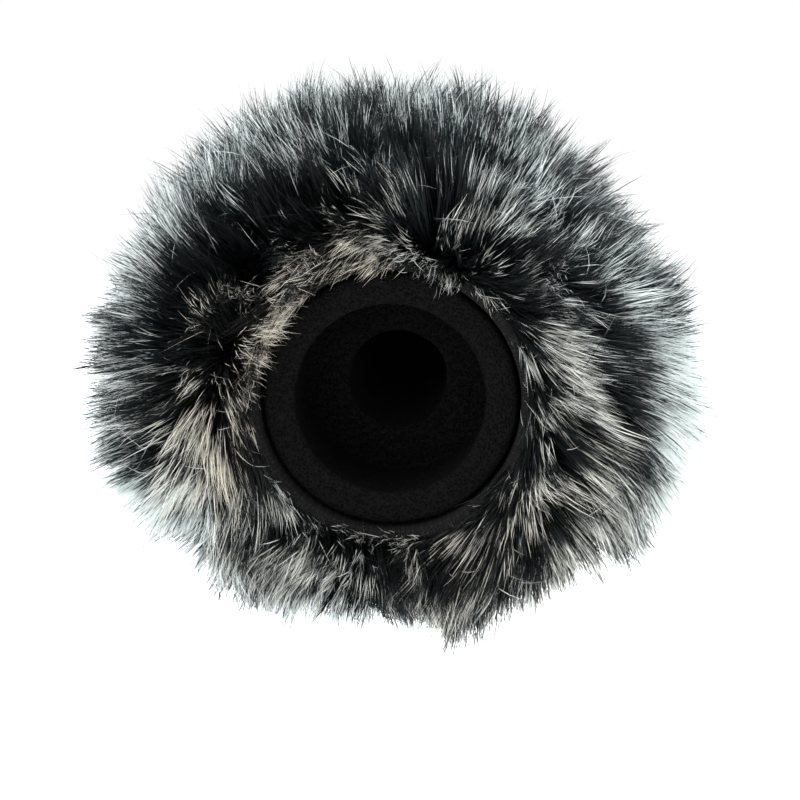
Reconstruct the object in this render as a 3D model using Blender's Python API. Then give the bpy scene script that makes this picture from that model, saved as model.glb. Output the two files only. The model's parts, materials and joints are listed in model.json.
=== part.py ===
"""Furry windscreen for an on-camera microphone.

A moulded foam windshield stays on the microphone. A fur cover of four gores and a nose panel, lined
and gripped by an elastic cuff, slips over the foam and comes off forwards.

Frame, in metres: +Y runs along the microphone's axis to the nose, +Z is up, and the origin is the
centre of the foam's rear face, where the microphone goes in. Nearly every piece is a turned shape
about Y, so profiles are lists of (radius, y), and directions round the axis are angles from +Z
towards +X.
"""

import math

import bmesh
import bpy
from mathutils import Matrix, Vector

# ---------------------------------------------------------------- driving sizes
GAP = 0.0003  # between pieces that touch
STEPS = 40  # segments in a full turn

FOAM_RADIUS = 0.028
FOAM_STRAIGHT = 0.090  # rear face to the dome's centre
FOAM_EDGE = 0.0018  # rounding of the rear edges
SOCKET_RADIUS = 0.021  # takes the front of the microphone's housing
SOCKET_DEPTH = 0.026
BORE_RADIUS = 0.011  # takes the capsule tube
BORE_END = 0.094

FIT = 0.0006  # running clearance between the cover and the foam
LINING = 0.0006
TAPE = 0.0006
TAPE_WIDTH = 0.009
CUFF_LEAF = 0.0008
ELASTIC = 0.0009
ELASTIC_WIDTH = 0.0078
BARTACK = 0.0006
THREAD_RADIUS = 0.0004
RIM_THREAD_RADIUS = 0.00045

CUFF_FRONT = 0.012  # front edge of both leaves of the cuff
RIM_REAR = 0.004  # rear edge of the fur
RIM_LIP = 0.0012  # thickness of the fur at that edge

PILE_RADIUS = 0.075  # tips of the pile at the widest place
PILE_WIDEST_Y = 0.042
PILE_NOSE_Y = 0.156
PILE_REAR_Y = -0.024
PILE_CREST_RADIUS = 0.051  # where the pile reaches furthest back
PILE_FULLNESS = 2.3  # exponent of the pile's outer curves: 2 is an ellipse
MOUTH_FULLNESS = 1.7  # and of its flare from the crest in to the rim
PILE_TOP = 0.93  # pile height above the axis, against its width
PILE_BOTTOM = 0.75  # and below it

SEAM_ANGLES = (-49.0, 62.0, 130.0, 230.0)  # degrees from +Z towards +X
GORE_NAMES = ("fur_gore_top", "fur_gore_right", "fur_gore_bottom", "fur_gore_left")
NOSE_SEAM = 52.1  # degrees from +Y, seen from the dome's centre
COVER_LENGTH = 0.30  # longer than anything that a cutter must pass through

# ---------------------------------------------------------------- sizes that follow
DOME = Vector((0.0, FOAM_STRAIGHT, 0.0))
LINING_IN = FOAM_RADIUS + FIT
LINING_OUT = LINING_IN + LINING
TAPE_IN = LINING_OUT + GAP
TAPE_OUT = TAPE_IN + TAPE
BACKING_IN = TAPE_OUT + GAP  # inside of the fur's knitted backing

CUFF_IN = LINING_IN
ELASTIC_IN = CUFF_IN + CUFF_LEAF + GAP
BARTACK_IN = ELASTIC_IN + ELASTIC + GAP
CUFF_OUTER_LEAF = BARTACK_IN + BARTACK + GAP
CUFF_OUT = CUFF_OUTER_LEAF + CUFF_LEAF
RIM_IN = CUFF_OUT + GAP  # inside of the fur where it laps over the cuff
CUFF_FOLD_Y = -0.0008  # centre of the fold's round

THREAD_PATH = BACKING_IN + THREAD_RADIUS + 0.0001
SLOT_HALF = THREAD_RADIUS + GAP  # half the parting between two gores, at the backing
SLOT_ANGLE = math.degrees(SLOT_HALF / THREAD_PATH)
RIM_STITCH_Y = CUFF_FRONT + GAP + RIM_THREAD_RADIUS + 0.0001
RIM_STEP_Y = RIM_STITCH_Y + RIM_THREAD_RADIUS + GAP  # where the backing steps in from cuff to tape


# ---------------------------------------------------------------- scene and materials
def clear_scene():
    for old in list(bpy.data.objects):
        bpy.data.objects.remove(old, do_unlink=True)


def new_collection(name):
    group = bpy.data.collections.new(name)
    bpy.context.scene.collection.children.link(group)
    return group


def material(name, colour, roughness):
    made = bpy.data.materials.new(name)
    made.use_nodes = True
    shader = made.node_tree.nodes["Principled BSDF"]
    shader.inputs["Base Color"].default_value = (*colour, 1.0)
    shader.inputs["Roughness"].default_value = roughness
    shader.inputs["Metallic"].default_value = 0.0
    made.diffuse_color = (*colour, 1.0)
    return made


# ---------------------------------------------------------------- geometry helpers
def around(angle):
    """The direction square to Y at an angle, in degrees from +Z towards +X."""
    turn = math.radians(angle)
    return Vector((math.sin(turn), 0.0, math.cos(turn)))


def arc(centre, radius, start, end, steps):
    """(radius, y) points on a circle; 0 degrees points outwards and 90 degrees along +Y."""
    points = []
    for i in range(steps + 1):
        turn = math.radians(start + (end - start) * i / steps)
        points.append((centre[0] + radius * math.cos(turn), centre[1] + radius * math.sin(turn)))
    return points


def oval(centre, half_width, depth, fullness, start, end, steps):
    """(radius, y) points on a superellipse, with the same directions as an arc's."""
    points = []
    for i in range(steps + 1):
        turn = math.radians(start + (end - start) * i / steps)
        across = math.copysign(abs(math.cos(turn)) ** (2.0 / fullness), math.cos(turn))
        along = math.copysign(abs(math.sin(turn)) ** (2.0 / fullness), math.sin(turn))
        points.append((centre[0] + half_width * across, centre[1] + depth * along))
    return points


def dome_arc(radius, start, end, steps=5):
    """Points on a dome about the foam's dome centre, by their angles from the +Y axis."""
    return arc((0.0, FOAM_STRAIGHT), radius, 90.0 - start, 90.0 - end, steps)


def mesh_from(form, name):
    bmesh.ops.recalc_face_normals(form, faces=form.faces)
    mesh = bpy.data.meshes.new(name)
    form.to_mesh(mesh)
    form.free()
    return mesh


def turned_mesh(name, profile, closed=True, steps=STEPS):
    """Spins a profile of (radius, y) points about Y. A profile that starts and ends on Y isn't closed."""
    form = bmesh.new()
    verts = [form.verts.new((radius, y, 0.0)) for radius, y in profile]
    edges = [form.edges.new(pair) for pair in zip(verts, verts[1:])]
    if closed:
        edges.append(form.edges.new((verts[-1], verts[0])))
    bmesh.ops.spin(
        form,
        geom=verts + edges,
        axis=(0.0, 1.0, 0.0),
        cent=(0.0, 0.0, 0.0),
        steps=steps,
        angle=math.tau,
        use_merge=True,
    )
    bmesh.ops.remove_doubles(form, verts=form.verts, dist=0.00002)
    return mesh_from(form, name)


def wedge_mesh(name, start, end, inset):
    """A prism along Y that fills the sector between two angles, with both its sides moved in by inset."""
    half = math.radians(end - start) / 2
    apex = around((start + end) / 2) * (inset / math.sin(half))
    reach = COVER_LENGTH
    rim = [around(start + (end - start) * i / 4) * reach + apex for i in range(5)]
    form = bmesh.new()
    corners = [form.verts.new(point - Vector((0.0, reach / 2, 0.0))) for point in [apex] + rim]
    face = form.faces.new(corners)
    lifted = bmesh.ops.extrude_face_region(form, geom=[face])["geom"]
    moved = [item for item in lifted if isinstance(item, bmesh.types.BMVert)]
    bmesh.ops.translate(form, verts=moved, vec=(0.0, 1.5 * reach, 0.0))
    return mesh_from(form, name)


def cone_mesh(name, half_angle):
    """A cone with its point at the dome's centre, opening along +Y."""
    form = bmesh.new()
    depth = COVER_LENGTH / 2
    bmesh.ops.create_cone(
        form,
        cap_ends=True,
        segments=STEPS,
        radius1=0.0,
        radius2=depth * math.tan(math.radians(half_angle)),
        depth=depth,
        matrix=Matrix.Translation(DOME + Vector((0.0, depth / 2, 0.0))) @ Matrix.Rotation(-math.pi / 2, 4, "X"),
    )
    return mesh_from(form, name)


def slab_mesh(name, angle, width):
    """A flat slab from the axis outwards at an angle, width wide across it."""
    form = bmesh.new()
    reach = COVER_LENGTH / 2
    bmesh.ops.create_cube(form, size=1.0)
    bmesh.ops.scale(form, verts=form.verts, vec=(width, COVER_LENGTH * 2, reach))
    bmesh.ops.translate(form, verts=form.verts, vec=(0.0, 0.0, reach / 2))
    bmesh.ops.rotate(form, verts=form.verts, matrix=Matrix.Rotation(math.radians(angle), 3, "Y"))
    return mesh_from(form, name)


class Assembly:
    """Keeps the collections, the two moving bodies and the cutters."""

    def __init__(self):
        self.parts = new_collection("furry_windscreen")
        self.cutters = new_collection("cutters")
        self.bodies = {}

    def add_body(self, name):
        empty = bpy.data.objects.new(name + "_body", None)
        empty.empty_display_size = 0.02
        self.parts.objects.link(empty)
        self.bodies[name] = empty

    def add(self, name, mesh, look, body):
        part = bpy.data.objects.new(name, mesh)
        mesh.materials.clear()
        mesh.materials.append(look)
        mesh.shade_smooth()
        mesh.set_sharp_from_angle(angle=math.radians(35.0))
        part.parent = self.bodies[body]
        self.parts.objects.link(part)
        return part

    def cutter(self, mesh):
        tool = bpy.data.objects.new(mesh.name, mesh)
        tool.hide_render = True
        tool.display_type = "WIRE"
        self.cutters.objects.link(tool)
        return tool


def cut(part, tool, operation):
    step = part.modifiers.new(tool.name, "BOOLEAN")
    step.operation = operation
    step.object = tool
    step.solver = "EXACT"


# ---------------------------------------------------------------- foam core
def foam_profile():
    """Outer skin from the nose to the rear edge, then in through the stepped socket to the bore's end."""
    edge = FOAM_EDGE
    outside = dome_arc(FOAM_RADIUS, 0.0, 90.0, steps=8)
    rear_outer = arc((FOAM_RADIUS - edge, edge), edge, 0.0, -90.0, 3)
    rear_inner = arc((SOCKET_RADIUS + edge, edge), edge, -90.0, -180.0, 3)
    socket = [(SOCKET_RADIUS, SOCKET_DEPTH), (BORE_RADIUS, SOCKET_DEPTH)]
    bore = [(BORE_RADIUS, BORE_END), (0.0, BORE_END)]
    return outside + rear_outer + rear_inner + socket + bore


def add_foam(kit, look):
    kit.add("foam_core", turned_mesh("foam_core", foam_profile(), closed=False), look, "windshield_core")


# ---------------------------------------------------------------- fur
def pile_profile():
    """Outline of the pile's tips, from the nose round the rear crest to the rim at the cuff."""
    nose_depth = PILE_NOSE_Y - PILE_WIDEST_Y
    front = oval((0.0, PILE_WIDEST_Y), PILE_RADIUS, nose_depth, PILE_FULLNESS, 90.0, 0.0, 8)
    crest = (PILE_CREST_RADIUS, PILE_WIDEST_Y)
    shoulder = PILE_RADIUS - PILE_CREST_RADIUS
    rear = oval(crest, shoulder, PILE_WIDEST_Y - PILE_REAR_Y, PILE_FULLNESS, 0.0, -90.0, 4)
    flare = PILE_CREST_RADIUS - RIM_IN - RIM_LIP
    mouth_centre = (PILE_CREST_RADIUS, RIM_REAR)
    mouth = oval(mouth_centre, flare, RIM_REAR - PILE_REAR_Y, MOUTH_FULLNESS, -90.0, -180.0, 3)
    return front + rear[1:] + mouth[1:] + [(0.0, RIM_REAR)]


def press_down(mesh):
    """Lowers the round outline of the pile above and below, and leaves it round at the rim."""
    for vert in mesh.vertices:
        radius = math.hypot(vert.co.x, vert.co.z)
        share = max(0.0, (radius - RIM_IN) / (PILE_RADIUS - RIM_IN))
        height = PILE_TOP if vert.co.z > 0 else PILE_BOTTOM
        vert.co.z *= 1.0 + (height - 1.0) * share


def hollow_profile():
    """Inside of the fur: wide over the cuff, then in over the tapes, then the dome."""
    rear = -COVER_LENGTH / 4
    step = [(0.0, rear), (RIM_IN, rear), (RIM_IN, RIM_STEP_Y), (BACKING_IN, RIM_STEP_Y)]
    dome = dome_arc(BACKING_IN, 90.0, 0.0, steps=8)
    return step + dome


def add_fur(kit, looks):
    """Four gores and the nose panel, all cut from one hollow shape of pile."""
    hollow = kit.cutter(turned_mesh("hollow", hollow_profile(), closed=False))
    nose_keep = kit.cutter(cone_mesh("nose_keep", NOSE_SEAM - SLOT_ANGLE))
    nose_clear = kit.cutter(cone_mesh("nose_clear", NOSE_SEAM + SLOT_ANGLE))
    ends = SEAM_ANGLES[1:] + (SEAM_ANGLES[0] + 360.0,)
    for name, start, end, look in zip(GORE_NAMES, SEAM_ANGLES, ends, looks):
        wedge = kit.cutter(wedge_mesh(name + "_wedge", start, end, SLOT_HALF))
        gore = kit.add(name, pile_mesh(name), look, "fur_cover")
        cut(gore, wedge, "INTERSECT")
        cut(gore, hollow, "DIFFERENCE")
        cut(gore, nose_clear, "DIFFERENCE")
    nose = kit.add("fur_nose_panel", pile_mesh("fur_nose_panel"), looks[0], "fur_cover")
    cut(nose, nose_keep, "INTERSECT")
    cut(nose, hollow, "DIFFERENCE")


def pile_mesh(name):
    mesh = turned_mesh(name, pile_profile(), closed=False)
    press_down(mesh)
    return mesh


# ---------------------------------------------------------------- lining, tapes and seams
def shell_profile(inner, outer, rear, end_angle):
    """A thin wall from a rear edge along the cylinder and over the dome to an angle from +Y."""
    outside = [(outer, rear)] + dome_arc(outer, 90.0, end_angle)
    inside = dome_arc(inner, end_angle, 90.0) + [(inner, rear)]
    return outside + inside


def zone_profile(inner, outer, start, end):
    """A thin band on the dome between two angles from +Y."""
    return dome_arc(outer, start, end, 4) + dome_arc(inner, end, start, 4)


def cap_profile(inner, outer, end):
    """A thin cup over the front of the dome."""
    return dome_arc(outer, 0.0, end) + dome_arc(inner, end, 0.0)


def add_lining(kit, look):
    joint = math.degrees(GAP / LINING_OUT)
    rear = CUFF_FRONT + GAP
    sleeve = shell_profile(LINING_IN, LINING_OUT, rear, NOSE_SEAM + joint)
    cap = cap_profile(LINING_IN, LINING_OUT, NOSE_SEAM - joint)
    kit.add("lining_sleeve", turned_mesh("lining_sleeve", sleeve), look, "fur_cover")
    kit.add("lining_cap", turned_mesh("lining_cap", cap, closed=False), look, "fur_cover")


def add_tapes(kit, look):
    half_width = math.degrees(TAPE_WIDTH / 2 / TAPE_OUT)
    joint = math.degrees(GAP / TAPE_IN)
    rear = RIM_STEP_Y + GAP
    for number, angle in enumerate(SEAM_ANGLES, start=1):
        name = f"seam_tape_{number}"
        strip = shell_profile(TAPE_IN, TAPE_OUT, rear, NOSE_SEAM + half_width + joint)
        tape = kit.add(name, turned_mesh(name, strip), look, "fur_cover")
        cut(tape, kit.cutter(slab_mesh(name + "_width", angle, TAPE_WIDTH)), "INTERSECT")
    band = zone_profile(TAPE_IN, TAPE_OUT, NOSE_SEAM - half_width, NOSE_SEAM + half_width)
    kit.add("nose_seam_tape", turned_mesh("nose_seam_tape", band), look, "fur_cover")


def thread_mesh(name, points, radius):
    """A thread along points, from a bevelled curve with its caps welded on."""
    curve = bpy.data.curves.new(name, "CURVE")
    curve.dimensions = "3D"
    curve.bevel_depth = radius
    curve.bevel_resolution = 1
    curve.use_fill_caps = True
    spline = curve.splines.new("POLY")
    spline.points.add(len(points) - 1)
    for point, place in zip(spline.points, points):
        point.co = (*place, 1.0)
    holder = bpy.data.objects.new(name + "_curve", curve)
    bpy.context.scene.collection.objects.link(holder)
    depsgraph = bpy.context.evaluated_depsgraph_get()
    mesh = bpy.data.meshes.new_from_object(holder.evaluated_get(depsgraph))
    bpy.data.objects.remove(holder, do_unlink=True)
    form = bmesh.new()
    form.from_mesh(mesh)
    bmesh.ops.remove_doubles(form, verts=form.verts, dist=0.00002)
    bpy.data.meshes.remove(mesh)
    return mesh_from(form, name)


def ring_mesh(name, path_radius, y, thread_radius):
    """A closed ring of thread about Y."""
    profile = arc((path_radius, y), thread_radius, 0.0, 300.0, 5)
    return turned_mesh(name, profile)


def add_threads(kit, look):
    stop = NOSE_SEAM + 2 * SLOT_ANGLE
    front = dome_arc(THREAD_PATH, 90.0, stop, 5)
    rear_y = RIM_STEP_Y + GAP + THREAD_RADIUS
    for number, angle in enumerate(SEAM_ANGLES, start=1):
        out = around(angle)
        points = [out * radius + Vector((0.0, y, 0.0)) for radius, y in [(THREAD_PATH, rear_y)] + front]
        name = f"seam_thread_{number}"
        kit.add(name, thread_mesh(name, points, THREAD_RADIUS), look, "fur_cover")
    (nose_radius, nose_y), _ = dome_arc(THREAD_PATH, NOSE_SEAM, NOSE_SEAM + 1.0, 1)
    nose = ring_mesh("nose_seam_thread", nose_radius, nose_y, THREAD_RADIUS)
    kit.add("nose_seam_thread", nose, look, "fur_cover")


# ---------------------------------------------------------------- cuff
def cuff_profile():
    """A strip folded double: both leaves run forward from a round fold at the rear."""
    middle = (CUFF_IN + CUFF_OUT) / 2
    fold = (middle, CUFF_FOLD_Y)
    outer_round = arc(fold, CUFF_OUT - middle, 0.0, -180.0, 6)
    inner_round = arc(fold, CUFF_OUTER_LEAF - middle, -180.0, 0.0, 6)
    outside = [(CUFF_OUT, CUFF_FRONT)] + outer_round + [(CUFF_IN, CUFF_FRONT)]
    tunnel = [(CUFF_IN + CUFF_LEAF, CUFF_FRONT)] + inner_round + [(CUFF_OUTER_LEAF, CUFF_FRONT)]
    return outside + tunnel


def band_profile(inner, thickness, start, width):
    outer = inner + thickness
    return [(outer, start + width), (outer, start), (inner, start), (inner, start + width)]


def add_cuff(kit, knit_look, elastic_look, thread_look):
    kit.add("cuff", turned_mesh("cuff", cuff_profile()), knit_look, "fur_cover")

    joint_angle = 180.0
    start = CUFF_FOLD_Y + GAP
    band = turned_mesh("cuff_elastic", band_profile(ELASTIC_IN, ELASTIC, start, ELASTIC_WIDTH))
    elastic = kit.add("cuff_elastic", band, elastic_look, "fur_cover")
    cut(elastic, kit.cutter(slab_mesh("elastic_ends", joint_angle, 0.001)), "DIFFERENCE")

    inset = 0.0008
    tack = band_profile(BARTACK_IN, BARTACK, start + inset, ELASTIC_WIDTH - 2 * inset)
    bartack = kit.add("elastic_bartack", turned_mesh("elastic_bartack", tack), thread_look, "fur_cover")
    cut(bartack, kit.cutter(slab_mesh("bartack_width", joint_angle, 0.006)), "INTERSECT")

    tunnel_y = (start + ELASTIC_WIDTH + CUFF_FRONT) / 2
    middle = (CUFF_IN + CUFF_OUT) / 2
    tunnel = ring_mesh("tunnel_stitch", middle, tunnel_y, RIM_THREAD_RADIUS)
    kit.add("tunnel_stitch", tunnel, thread_look, "fur_cover")
    rim = ring_mesh("rim_stitch", middle + THREAD_RADIUS, RIM_STITCH_Y, RIM_THREAD_RADIUS)
    kit.add("rim_stitch", rim, thread_look, "fur_cover")


# ---------------------------------------------------------------- whole object
def main():
    clear_scene()
    kit = Assembly()
    kit.add_body("windshield_core")
    kit.add_body("fur_cover")
    foam = material("foam_black", (0.012, 0.012, 0.013), 0.95)
    pile = [
        material("pile_top", (0.16, 0.18, 0.19), 0.85),
        material("pile_right", (0.23, 0.25, 0.25), 0.85),
        material("pile_bottom", (0.34, 0.35, 0.34), 0.85),
        material("pile_left", (0.14, 0.16, 0.17), 0.85),
    ]
    lining = material("lining_charcoal", (0.030, 0.030, 0.032), 0.90)
    tape = material("tape_black", (0.020, 0.020, 0.021), 0.80)
    knit = material("cuff_knit_black", (0.016, 0.016, 0.017), 0.90)
    elastic = material("elastic_grey", (0.10, 0.10, 0.10), 0.70)
    thread = material("thread_black", (0.014, 0.014, 0.015), 0.55)
    add_foam(kit, foam)
    add_fur(kit, pile)
    add_lining(kit, lining)
    add_tapes(kit, tape)
    add_threads(kit, thread)
    add_cuff(kit, knit, elastic, thread)


main()
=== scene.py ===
"""Looks of the furry windscreen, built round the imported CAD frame.

Metres, +Y along the microphone's axis to the nose, +Z up. Directions round the axis are angles from
+Z towards +X. The outline of a turned piece is rows of (radius, y), and "at" is how far along an
outline a place is.
"""

import json
import math

import bmesh
import bpy
import numpy as np
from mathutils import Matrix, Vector, kdtree, noise


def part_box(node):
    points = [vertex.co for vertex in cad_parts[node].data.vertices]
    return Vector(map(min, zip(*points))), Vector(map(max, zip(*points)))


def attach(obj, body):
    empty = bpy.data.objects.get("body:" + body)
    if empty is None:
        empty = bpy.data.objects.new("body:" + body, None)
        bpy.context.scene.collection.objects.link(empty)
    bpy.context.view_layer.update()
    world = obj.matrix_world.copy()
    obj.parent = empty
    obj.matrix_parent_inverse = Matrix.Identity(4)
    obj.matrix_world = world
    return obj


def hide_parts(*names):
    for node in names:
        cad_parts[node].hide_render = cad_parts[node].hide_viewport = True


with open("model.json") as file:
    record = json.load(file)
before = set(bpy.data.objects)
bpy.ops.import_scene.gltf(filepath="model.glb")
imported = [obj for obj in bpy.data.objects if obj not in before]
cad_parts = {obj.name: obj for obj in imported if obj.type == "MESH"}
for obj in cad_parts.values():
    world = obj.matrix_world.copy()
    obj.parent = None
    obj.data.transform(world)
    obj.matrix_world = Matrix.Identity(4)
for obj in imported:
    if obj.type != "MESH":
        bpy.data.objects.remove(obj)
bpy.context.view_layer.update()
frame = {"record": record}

# ---- sizes, from the frame where it has them
COVER = "fur_cover"
CORE = "windshield_core"


def centre(node):
    low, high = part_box(node)
    return (low + high) / 2


def seam_angle(number):
    middle = centre(f"seam_thread_{number}")
    return math.atan2(middle.x, middle.z)


FOAM_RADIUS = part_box("foam_core")[1].x
DOME_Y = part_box("foam_core")[1].y - FOAM_RADIUS  # centre of the round nose
SOCKET = frame["record"]["mounts"][0]["dims"]
SOCKET_RADIUS = SOCKET["r_mm"] / 1000
SOCKET_DEPTH = SOCKET["length_mm"] / 1000
BORE_RADIUS = 0.011
BORE_END = 0.094

CUFF_LOW, CUFF_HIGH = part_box("cuff")
CUFF_IN = FOAM_RADIUS + 0.0006
CUFF_OUT = CUFF_HIGH.x
ELASTIC_IN = CUFF_IN + 0.0011  # outside the cuff's inner leaf
LINING_LOW, LINING_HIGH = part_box("lining_sleeve")
LINING_OUT = LINING_HIGH.x
BACKING_IN = LINING_OUT + 0.0012
BACKING_THICK = 0.0009
RIM_IN = CUFF_OUT + 0.0003  # the backing's rear end, which lies round the cuff
RIM_REAR = 0.004
RIM_STEP = CUFF_HIGH.y + 0.0018  # where the backing steps in from the cuff to the lining

SEAMS = [seam_angle(number) for number in (1, 2, 3, 4)]
NOSE_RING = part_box("nose_seam_thread")
NOSE_SEAM = math.atan2(NOSE_RING[1].x, centre("nose_seam_thread").y - DOME_Y)  # from +Y
NOSE_SEAM_DEGREES = math.degrees(NOSE_SEAM)
PANELS = {  # the gores, in the order of the seams that they begin at, and the nose
    "top": "fur_gore_top",
    "right": "fur_gore_right",
    "bottom": "fur_gore_bottom",
    "left": "fur_gore_left",
    "nose": "fur_nose_panel",
}

PILE_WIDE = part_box("fur_gore_right")[1].x
PILE_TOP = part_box("fur_gore_top")[1].z
PILE_BOTTOM = -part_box("fur_gore_bottom")[0].z
PILE_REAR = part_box("fur_gore_top")[0].y
PILE_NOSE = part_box("fur_nose_panel")[1].y
PILE_WIDEST_Y = 0.042
CREST_RADIUS = 0.051  # of the pile's rearmost ring
TUFT_RADIUS = FOAM_RADIUS + 0.0008  # innermost tips, which hang over the cuff
TUFT_Y = -0.0035


# ---- camera, lights and floor
def add_camera():
    """Behind the opening and a little above it."""
    azimuth = math.radians(4.0)
    elevation = math.radians(11.0)
    distance = 0.58
    aim = Vector((0.0022, 0.0, 0.0))
    level = math.cos(elevation)
    back = Vector((math.sin(azimuth) * level, -math.cos(azimuth) * level, math.sin(elevation)))
    camera = bpy.data.objects.new("camera", bpy.data.cameras.new("camera"))
    camera.data.lens = 120.0
    camera.data.sensor_width = 36.0
    camera.location = aim + back * distance
    camera.rotation_euler = (-back).to_track_quat("-Z", "Y").to_euler()
    bpy.context.scene.collection.objects.link(camera)
    bpy.context.scene.camera = camera


def add_light(name, place, size, power, colour=(1.0, 1.0, 1.0)):
    """A soft box at a place, turned to the middle of the windscreen."""
    lamp = bpy.data.lights.new(name, "AREA")
    lamp.shape = "RECTANGLE"
    lamp.size = size[0]
    lamp.size_y = size[1]
    lamp.energy = power
    lamp.color = colour
    holder = bpy.data.objects.new(name, lamp)
    holder.location = place
    aim = Vector((0.0, 0.05, 0.0)) - Vector(place)
    holder.rotation_euler = aim.to_track_quat("-Z", "Y").to_euler()
    bpy.context.scene.collection.objects.link(holder)


def plain_floor():
    made = bpy.data.materials.new("pale_floor")
    made.use_nodes = True
    shader = made.node_tree.nodes["Principled BSDF"]
    shader.inputs["Base Color"].default_value = (0.98, 0.98, 0.98, 1.0)
    shader.inputs["Roughness"].default_value = 1.0
    shader.inputs["Specular IOR Level"].default_value = 0.0
    return made


def add_floor():
    mesh = bpy.data.meshes.new("floor")
    form = bmesh.new()
    bmesh.ops.create_grid(form, x_segments=1, y_segments=1, size=3.0)
    form.to_mesh(mesh)
    form.free()
    mesh.materials.append(plain_floor())
    floor = bpy.data.objects.new("floor", mesh)
    room = 0.10  # under the fur
    floor.location = (0.0, 0.0, -PILE_BOTTOM - room)
    bpy.context.scene.collection.objects.link(floor)


def add_studio():
    """White surroundings, soft light from above and both sides, and a strong one that rims the fur."""
    world = bpy.data.worlds.new("studio")
    world.use_nodes = True
    world.node_tree.nodes["Background"].inputs["Color"].default_value = (1.0, 1.0, 1.0, 1.0)
    world.node_tree.nodes["Background"].inputs["Strength"].default_value = 1.03
    bpy.context.scene.world = world
    bpy.context.scene.view_settings.view_transform = "Standard"
    add_light("key_above", (-0.35, -0.30, 0.90), (0.7, 0.7), 7.0)
    add_light("fill_right", (0.9, 0.10, 0.25), (0.6, 0.9), 7.0, (1.0, 0.99, 0.97))
    add_light("fill_rear", (-0.45, -0.85, 0.20), (0.8, 0.8), 3.4)
    add_light("rim_front", (0.1, 0.9, 0.5), (1.2, 0.6), 18.0, (0.94, 0.98, 1.0))
    add_floor()


# ---- materials
class Nodes:
    """A material under construction, whose calls add nodes and return their outputs."""

    def __init__(self, name, roughness, specular):
        self.material = bpy.data.materials.new(name)
        self.material.use_nodes = True
        self.tree = self.material.node_tree
        self.shader = self.tree.nodes["Principled BSDF"]
        self.shader.inputs["Roughness"].default_value = roughness
        self.shader.inputs["Specular IOR Level"].default_value = specular

    def add(self, kind, **settings):
        node = self.tree.nodes.new(kind)
        for key, value in settings.items():
            setattr(node, key, value)
        return node

    def feed(self, socket, value):
        """Links an output to the socket, or sets it to a number or a colour."""
        if hasattr(value, "is_output"):
            self.tree.links.new(value, socket)
        elif isinstance(value, tuple):
            socket.default_value = (*value, 1.0)
        else:
            socket.default_value = value

    def math(self, operation, first, second=0.0):
        node = self.add("ShaderNodeMath", operation=operation)
        self.feed(node.inputs[0], first)
        self.feed(node.inputs[1], second)
        return node.outputs[0]

    def times(self, first, second):
        return self.math("MULTIPLY", first, second)

    def wave(self, value, length):
        """A sine wave along value."""
        return self.math("SINE", self.times(value, math.tau / length))

    def step(self, value, low, high, start=0.0, end=1.0):
        """A smooth step of value from low to high, mapped to start and end."""
        node = self.add("ShaderNodeMapRange", interpolation_type="SMOOTHSTEP")
        for socket, given in zip(node.inputs, (value, low, high, start, end)):
            self.feed(socket, given)
        return node.outputs[0]

    def mix(self, share, first, second):
        """A mix of two colours."""
        node = self.add("ShaderNodeMix", data_type="RGBA")
        self.feed(node.inputs["Factor"], share)
        self.feed(node.inputs["A"], first)
        self.feed(node.inputs["B"], second)
        return node.outputs["Result"]

    def noise(self, vector, scale, detail=3.0):
        node = self.add("ShaderNodeTexNoise")
        self.feed(node.inputs["Vector"], vector)
        node.inputs["Scale"].default_value = scale
        node.inputs["Detail"].default_value = detail
        return node.outputs[0]

    def cells(self, vector, scale):
        """Distance to the nearest of many scattered points."""
        node = self.add("ShaderNodeTexVoronoi", feature="F1")
        self.feed(node.inputs["Vector"], vector)
        node.inputs["Scale"].default_value = scale
        return node.outputs["Distance"]

    def place(self):
        return self.add("ShaderNodeTexCoord").outputs["Object"]

    def split(self, vector):
        node = self.add("ShaderNodeSeparateXYZ")
        self.feed(node.inputs[0], vector)
        return node.outputs[0], node.outputs[1], node.outputs[2]

    def wrapped(self, radius):
        """Distance round the axis and along it, for patterns on turned cloth."""
        x, y, z = self.split(self.place())
        angle = self.math("ARCTAN2", x, z)
        return self.times(angle, radius), y

    def bump(self, height, distance):
        node = self.add("ShaderNodeBump")
        node.inputs["Strength"].default_value = 1.0
        node.inputs["Distance"].default_value = distance
        self.feed(node.inputs["Height"], height)
        self.tree.links.new(node.outputs[0], self.shader.inputs["Normal"])

    def colour(self, value):
        self.feed(self.shader.inputs["Base Color"], value)

    def rough(self, value):
        self.feed(self.shader.inputs["Roughness"], value)

    def let_through(self, colour, share):
        """Lets part of the light behind through, as fine hair does."""
        glow = self.add("ShaderNodeBsdfTranslucent")
        self.feed(glow.inputs["Color"], colour)
        both = self.add("ShaderNodeMixShader")
        both.inputs[0].default_value = share
        self.tree.links.new(self.shader.outputs[0], both.inputs[1])
        self.tree.links.new(glow.outputs[0], both.inputs[2])
        self.tree.links.new(both.outputs[0], self.tree.nodes["Material Output"].inputs["Surface"])


def foam_material():
    """Open-cell foam: round pores, painted darker as shade in their hollows, between slightly lighter
    struts.
    """
    made = Nodes("open_cell_foam", 0.97, 0.08)
    spot = made.place()
    coarse = made.cells(spot, 1500.0)
    fine = made.cells(spot, 3300.0)
    pores = made.times(made.step(coarse, 0.12, 0.62), made.step(fine, 0.05, 0.55, 0.35, 1.0))
    patch = made.noise(spot, 90.0)
    struts = made.mix(patch, (0.0034, 0.0034, 0.0036), (0.0062, 0.0062, 0.0066))
    # painted shade: pores darker than the struts, as in the shade of their hollows
    made.colour(made.mix(pores, (0.0012, 0.0012, 0.0012), struts))
    made.rough(made.step(pores, 0.0, 1.0, 1.0, 0.9))
    made.bump(pores, 0.0003)
    return made.material


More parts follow.
